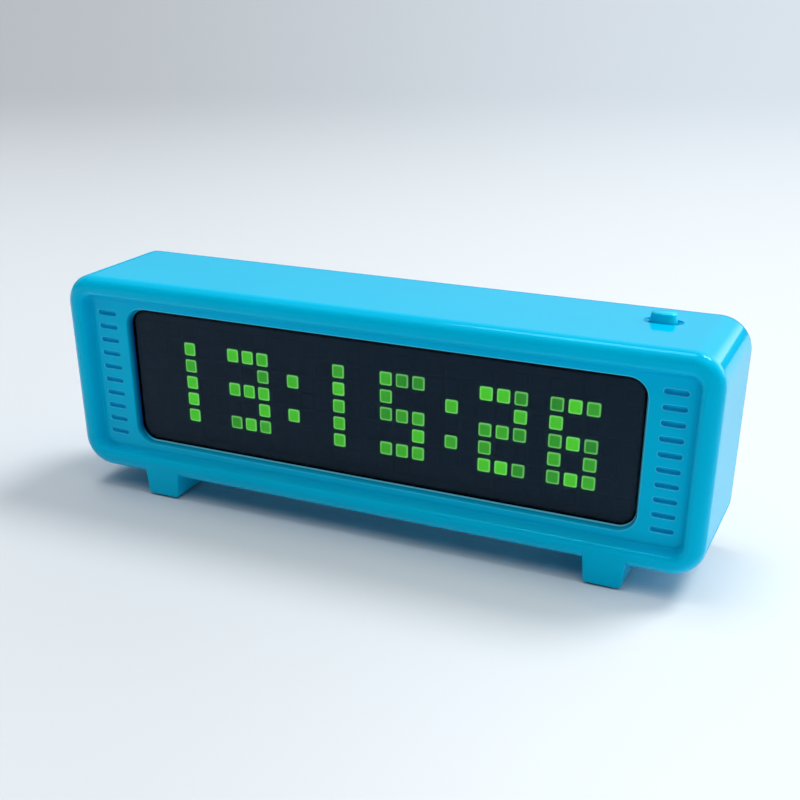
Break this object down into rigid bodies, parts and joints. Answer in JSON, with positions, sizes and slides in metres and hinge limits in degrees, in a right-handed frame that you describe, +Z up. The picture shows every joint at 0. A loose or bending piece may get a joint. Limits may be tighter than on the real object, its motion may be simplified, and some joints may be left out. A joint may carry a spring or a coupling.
{
  "type": "led pixel desk clock",
  "caption": "Long low desk clock: glossy blue moulded housing on two runner feet, smoked window over a grid of green light guides, sprung push button in the top, power inlet at the rear.",
  "frame": {"origin": "on the table, under the middle of the clock's bounding box", "axes": "+X along the clock to the right as seen from the front, +Y from the display to the rear, +Z up"},
  "size_m": [0.158, 0.031, 0.0564],
  "materials": {
    "blue_plastic": "glossy moulded, cyan blue",
    "smoked_acrylic": "polished smoked sheet",
    "black_tape": "foam adhesive",
    "mask_black": "fine matt",
    "lit_guide": "translucent, lit from behind",
    "dark_guide": "translucent, unlit",
    "emitter_white": "moulded white",
    "board_laminate": "solder resist",
    "chip_black": "moulded epoxy",
    "screw_steel": "zinc plated",
    "plated_steel": "nickel plated",
    "plated_brass": "plated",
    "pad_rubber": "matt"
  },
  "bodies": {
    "clock_body": {"front_housing": "blue_plastic", "rear_cover": "blue_plastic", "cover_screws": "screw_steel", "foot_pads": "pad_rubber", "window_lens": "smoked_acrylic", "lens_tape": "black_tape", "pixel_mask": "mask_black", "lit_pixel_tiles": "lit_guide", "dark_pixel_tiles": "dark_guide", "led_emitters": "emitter_white", "led_board": "board_laminate", "led_drivers": "chip_black", "led_board_screws": "screw_steel", "board_standoffs": "plated_brass", "main_board": "board_laminate", "main_board_screws": "screw_steel", "header_socket": "chip_black", "pin_header": "chip_black", "header_pins": "plated_brass", "microcontroller": "chip_black", "clock_crystal": "plated_steel", "capacitors": "plated_steel", "cell_holder": "chip_black", "coin_cell": "plated_steel", "buzzer": "chip_black", "usb_shell": "plated_steel", "usb_tongue": "chip_black", "switch_body": "chip_black"},
    "button": {"top_button": "blue_plastic"},
    "plunger": {"switch_plunger": "emitter_white"}
  },
  "joints": [
    {"name": "button_press", "type": "slide", "parent": "clock_body", "child": "button", "axis": [0, 0, -1], "range_m": [0, 0.001], "stiffness_N_per_m": 1600},
    {"name": "plunger_press", "type": "slide", "parent": "clock_body", "child": "plunger", "axis": [0, 0, -1], "range_m": [0, 0.001]}
  ],
  "couplings": [
    {"joint": "plunger_press", "follows": "button_press", "ratio": 1}
  ]
}
